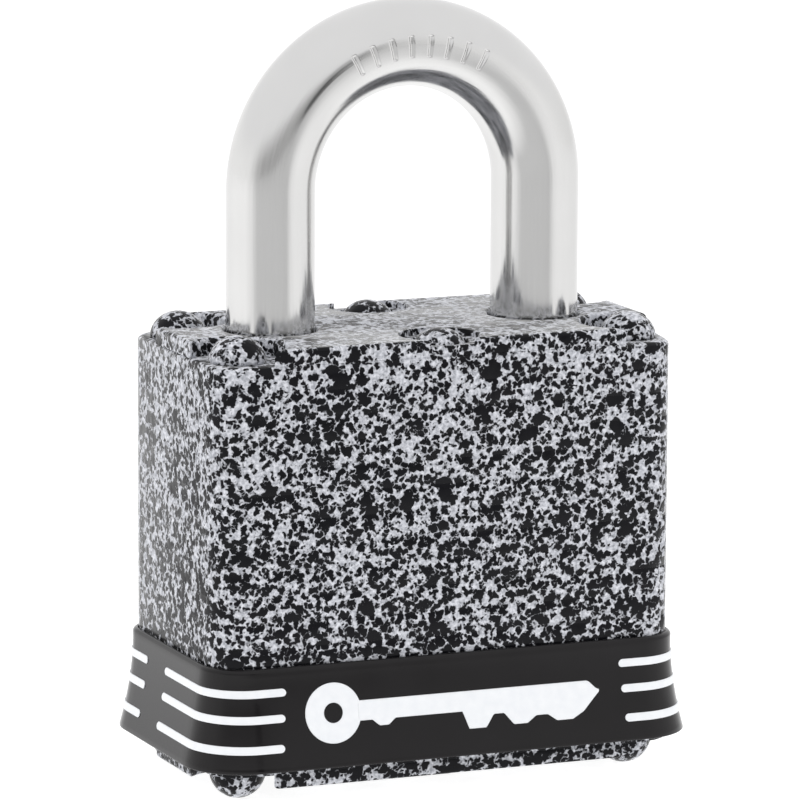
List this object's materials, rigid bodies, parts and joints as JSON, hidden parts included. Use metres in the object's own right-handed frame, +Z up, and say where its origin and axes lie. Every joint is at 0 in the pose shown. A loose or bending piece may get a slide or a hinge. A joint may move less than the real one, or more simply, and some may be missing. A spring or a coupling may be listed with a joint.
{
  "type": "laminated padlock",
  "caption": "Laminated steel padlock with a speckled painted body, a bright round shackle, riveted end plates, a flared black bumper at its foot and a keyway underneath.",
  "frame": {"origin": "bottom centre of the bounding box: on the surface that the four domed rivet feet stand on, midway between the shackle's legs", "axes": "+X across the body's width towards the toe leg, -Y is the front with the printed bumper face, +Z up through the shackle"},
  "size_m": [0.0432, 0.024, 0.0627],
  "materials": {
    "speckled_paint": "near-black enamel with a fine pale grey fleck, semi-gloss, slightly rough to the touch",
    "shackle_steel": "bright plated steel with a fine lengthwise polish",
    "black_vinyl": "smooth satin black vinyl",
    "white_print": "thin raised white ink on the bumper",
    "brass": "turned and milled brass, unlacquered",
    "plain_steel": "bare punched steel, lightly oiled",
    "spring_steel": "drawn spring wire and nickel-plated pins"
  },
  "bodies": {
    "body": {"top_plate": "speckled_paint", "lamination_01": "speckled_paint", "lamination_02": "speckled_paint", "lamination_03": "speckled_paint", "lamination_04": "speckled_paint", "lamination_05": "speckled_paint", "lamination_06": "speckled_paint", "lamination_07": "speckled_paint", "lamination_08": "speckled_paint", "lamination_09": "speckled_paint", "lamination_10": "speckled_paint", "lamination_11": "speckled_paint", "lamination_12": "speckled_paint", "lamination_13": "speckled_paint", "lamination_14": "speckled_paint", "lamination_15": "speckled_paint", "lamination_16": "speckled_paint", "bottom_plate": "speckled_paint", "rivet_front_left": "speckled_paint", "rivet_front_middle": "speckled_paint", "rivet_front_right": "speckled_paint", "rivet_back_left": "speckled_paint", "rivet_back_middle": "speckled_paint", "rivet_back_right": "speckled_paint", "shackle_retaining_pin": "plain_steel", "shackle_spring": "spring_steel", "cylinder_housing": "brass", "pin_chamber_cap": "plain_steel", "pin_spring_1": "spring_steel", "pin_spring_2": "spring_steel", "pin_spring_3": "spring_steel", "pin_spring_4": "spring_steel", "lever_spring_left": "spring_steel", "lever_spring_right": "spring_steel", "bumper": "black_vinyl"},
    "shackle": {"shackle": "shackle_steel"},
    "plug": {"plug": "brass", "plug_retaining_clip": "spring_steel", "cam": "plain_steel"},
    "locking_lever_left": {"locking_lever_left": "plain_steel"},
    "locking_lever_right": {"locking_lever_right": "plain_steel"},
    "key_pin_1": {"key_pin_1": "brass"},
    "key_pin_2": {"key_pin_2": "brass"},
    "key_pin_3": {"key_pin_3": "brass"},
    "key_pin_4": {"key_pin_4": "brass"},
    "driver_pin_1": {"driver_pin_1": "spring_steel"},
    "driver_pin_2": {"driver_pin_2": "spring_steel"},
    "driver_pin_3": {"driver_pin_3": "spring_steel"},
    "driver_pin_4": {"driver_pin_4": "spring_steel"}
  },
  "joints": [
    {"name": "shackle_lift", "type": "slide", "parent": "body", "child": "shackle", "axis": [0, 0, 1], "range_m": [0, 0.012], "deforming": ["shackle_spring"]},
    {"name": "plug_turn", "type": "hinge", "parent": "body", "child": "plug", "pos_m": [0, 0, 0.0122], "axis": [0, 0, 1], "range_deg": [0, 90]},
    {"name": "left_lever_slide", "type": "slide", "parent": "body", "child": "locking_lever_left", "axis": [1, 0, 0], "range_m": [0, 0.003], "deforming": ["lever_spring_left"]},
    {"name": "right_lever_slide", "type": "slide", "parent": "body", "child": "locking_lever_right", "axis": [-1, 0, 0], "range_m": [0, 0.003], "deforming": ["lever_spring_right"]},
    {"name": "key_pin_1_drop", "type": "slide", "parent": "plug", "child": "key_pin_1", "axis": [-1, 0, 0], "range_m": [0, 0.0012]},
    {"name": "key_pin_2_drop", "type": "slide", "parent": "plug", "child": "key_pin_2", "axis": [-1, 0, 0], "range_m": [0, 0.0012]},
    {"name": "key_pin_3_drop", "type": "slide", "parent": "plug", "child": "key_pin_3", "axis": [-1, 0, 0], "range_m": [0, 0.0012]},
    {"name": "key_pin_4_drop", "type": "slide", "parent": "plug", "child": "key_pin_4", "axis": [-1, 0, 0], "range_m": [0, 0.0012]},
    {"name": "driver_pin_1_lift", "type": "slide", "parent": "body", "child": "driver_pin_1", "axis": [1, 0, 0], "range_m": [0, 0.0012], "stiffness_N_per_m": 100, "springref_m": -0.003, "deforming": ["pin_spring_1"]},
    {"name": "driver_pin_2_lift", "type": "slide", "parent": "body", "child": "driver_pin_2", "axis": [1, 0, 0], "range_m": [0, 0.0012], "stiffness_N_per_m": 100, "springref_m": -0.003, "deforming": ["pin_spring_2"]},
    {"name": "driver_pin_3_lift", "type": "slide", "parent": "body", "child": "driver_pin_3", "axis": [1, 0, 0], "range_m": [0, 0.0012], "stiffness_N_per_m": 100, "springref_m": -0.003, "deforming": ["pin_spring_3"]},
    {"name": "driver_pin_4_lift", "type": "slide", "parent": "body", "child": "driver_pin_4", "axis": [1, 0, 0], "range_m": [0, 0.0012], "stiffness_N_per_m": 100, "springref_m": -0.003, "deforming": ["pin_spring_4"]}
  ],
  "couplings": [
    {"joint": "plug_turn", "follows": "shackle_lift", "rad_per_m": 130.9},
    {"joint": "left_lever_slide", "follows": "shackle_lift", "ratio": 0.25},
    {"joint": "right_lever_slide", "follows": "shackle_lift", "ratio": 0.25}
  ]
}
